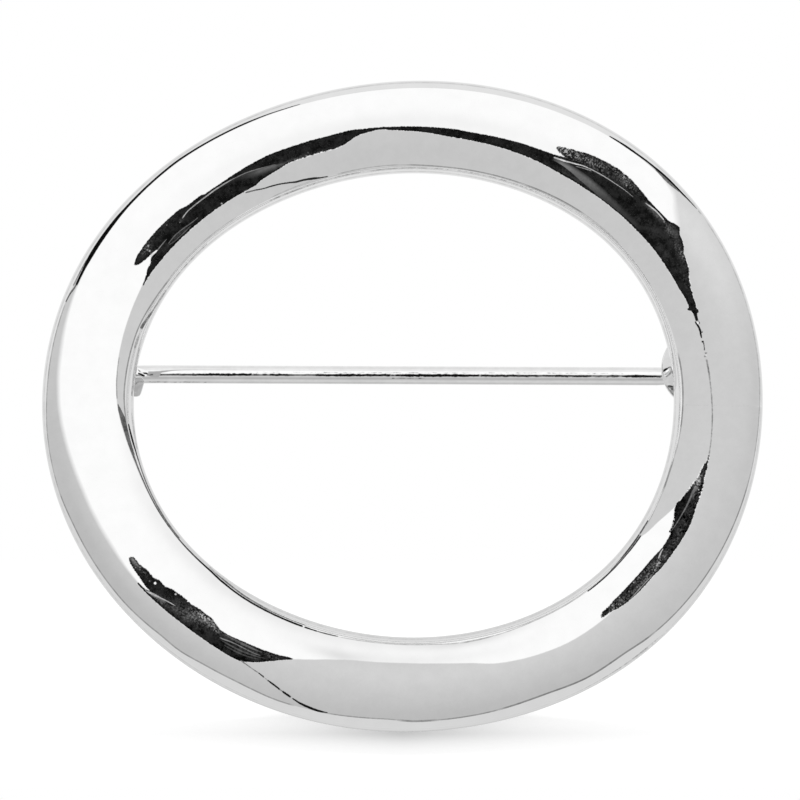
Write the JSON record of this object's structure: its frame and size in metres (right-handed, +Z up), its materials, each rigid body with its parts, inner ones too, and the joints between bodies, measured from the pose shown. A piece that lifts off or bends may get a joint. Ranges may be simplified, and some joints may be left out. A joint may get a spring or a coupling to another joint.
{
  "type": "open oval ring brooch",
  "caption": "Open oval ring brooch with a domed, mirror-polished band, a hinged pin across the hole, a riveted joint and a hook catch on a round pad.",
  "frame": {"origin": "on the surface that the brooch lies on, under the middle of its outline", "axes": "+X along the pin from its hinge to its catch, +Y towards the brooch's top edge, +Z up; the band's front looks up, leaning 8.3 degrees towards -Y"},
  "size_m": [0.0442, 0.0394, 0.0081],
  "materials": {
    "silver": "mirror-polished silver",
    "rivet": "polished silver wire",
    "pin_wire": "polished hard-drawn silver wire"
  },
  "bodies": {
    "ring": {"ring": "silver", "hinge_rivet": "rivet"},
    "pin": {"pin": "pin_wire"}
  },
  "joints": [
    {"name": "pin_hinge", "type": "hinge", "parent": "ring", "child": "pin", "pos_m": [-0.0187, 0.00231, 0.00126], "axis": [0, 0.9895, 0.1444], "range_deg": [0, 90]}
  ]
}
